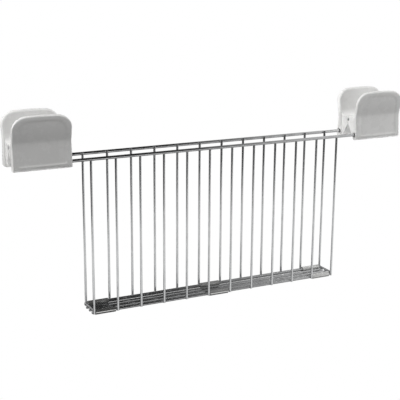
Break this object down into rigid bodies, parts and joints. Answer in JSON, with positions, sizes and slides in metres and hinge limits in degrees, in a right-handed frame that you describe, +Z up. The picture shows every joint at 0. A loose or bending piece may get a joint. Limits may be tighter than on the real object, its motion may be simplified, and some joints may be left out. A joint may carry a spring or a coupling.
{
  "type": "toaster sandwich rack",
  "caption": "Slim chromed wire cage with a hinged back panel, hung in a toaster slot from sprung white squeeze handles at its ends.",
  "frame": {"origin": "middle of the rack in the plane under the handles' feet, which lie on the toaster's top", "axes": "+X along the rack, -Y the front panel's side, +Z up, out of the toaster's slot"},
  "size_m": [0.3422, 0.0332, 0.1619],
  "materials": {
    "chromed_wire": "polished",
    "bright_sheet": "bright",
    "spring_steel": "satin",
    "handle_plastic": "glossy"
  },
  "bodies": {
    "front_basket": {"front_rail": "chromed_wire", "front_wire_1": "chromed_wire", "front_wire_2": "chromed_wire", "front_wire_3": "chromed_wire", "front_wire_4": "chromed_wire", "front_wire_5": "chromed_wire", "front_wire_6": "chromed_wire", "front_wire_7": "chromed_wire", "front_wire_8": "chromed_wire", "front_wire_9": "chromed_wire", "front_wire_10": "chromed_wire", "front_wire_11": "chromed_wire", "front_wire_12": "chromed_wire", "tray_rod_front": "chromed_wire", "tray_rod_middle": "chromed_wire", "tray_rod_rear": "chromed_wire", "end_cross_wire_left": "chromed_wire", "end_cross_wire_right": "chromed_wire", "hinge_strap_left": "bright_sheet", "hinge_strap_middle": "bright_sheet", "hinge_strap_right": "bright_sheet", "front_rail_clips": "bright_sheet"},
    "back_panel": {"back_rail": "chromed_wire", "back_wire_1": "chromed_wire", "back_wire_2": "chromed_wire", "back_wire_3": "chromed_wire", "back_wire_4": "chromed_wire", "back_wire_5": "chromed_wire", "back_wire_6": "chromed_wire", "back_wire_7": "chromed_wire", "back_wire_8": "chromed_wire", "back_wire_9": "chromed_wire", "back_wire_10": "chromed_wire", "back_wire_11": "chromed_wire", "back_wire_12": "chromed_wire", "back_hinge_rod": "chromed_wire", "back_rail_clips": "bright_sheet"},
    "left_front_half": {"handle_left_front_half": "handle_plastic", "rocking_pin_left": "spring_steel", "torsion_spring_left": "spring_steel"},
    "left_back_half": {"handle_left_back_half": "handle_plastic"},
    "right_front_half": {"handle_right_front_half": "handle_plastic", "rocking_pin_right": "spring_steel", "torsion_spring_right": "spring_steel"},
    "right_back_half": {"handle_right_back_half": "handle_plastic"}
  },
  "joints": [
    {"name": "back_panel_hinge", "type": "hinge", "parent": "front_basket", "child": "back_panel", "pos_m": [0, 0.0092, -0.1169], "axis": [-1, 0, 0], "range_deg": [0, 2.8], "stiffness_Nm_per_rad": 1.5, "springref_deg": -17.19},
    {"name": "left_front_half_rock", "type": "hinge", "parent": "front_basket", "child": "left_front_half", "pos_m": [-0.1486, -0.01137, 0.0047], "axis": [-1, 0, 0], "range_deg": [0, 17.8]},
    {"name": "left_back_half_rock", "type": "hinge", "parent": "back_panel", "child": "left_back_half", "pos_m": [-0.1486, 0.01137, 0.0047], "axis": [1, 0, 0], "range_deg": [0, 20.3], "deforming": ["torsion_spring_left"]},
    {"name": "right_front_half_rock", "type": "hinge", "parent": "front_basket", "child": "right_front_half", "pos_m": [0.1486, -0.01137, 0.0047], "axis": [-1, 0, 0], "range_deg": [0, 17.8]},
    {"name": "right_back_half_rock", "type": "hinge", "parent": "back_panel", "child": "right_back_half", "pos_m": [0.1486, 0.01137, 0.0047], "axis": [1, 0, 0], "range_deg": [0, 20.3], "deforming": ["torsion_spring_right"]}
  ],
  "couplings": [
    {"joint": "left_front_half_rock", "follows": "back_panel_hinge", "ratio": 6.33},
    {"joint": "left_back_half_rock", "follows": "back_panel_hinge", "ratio": 7.23},
    {"joint": "right_front_half_rock", "follows": "back_panel_hinge", "ratio": 6.33},
    {"joint": "right_back_half_rock", "follows": "back_panel_hinge", "ratio": 7.23}
  ]
}
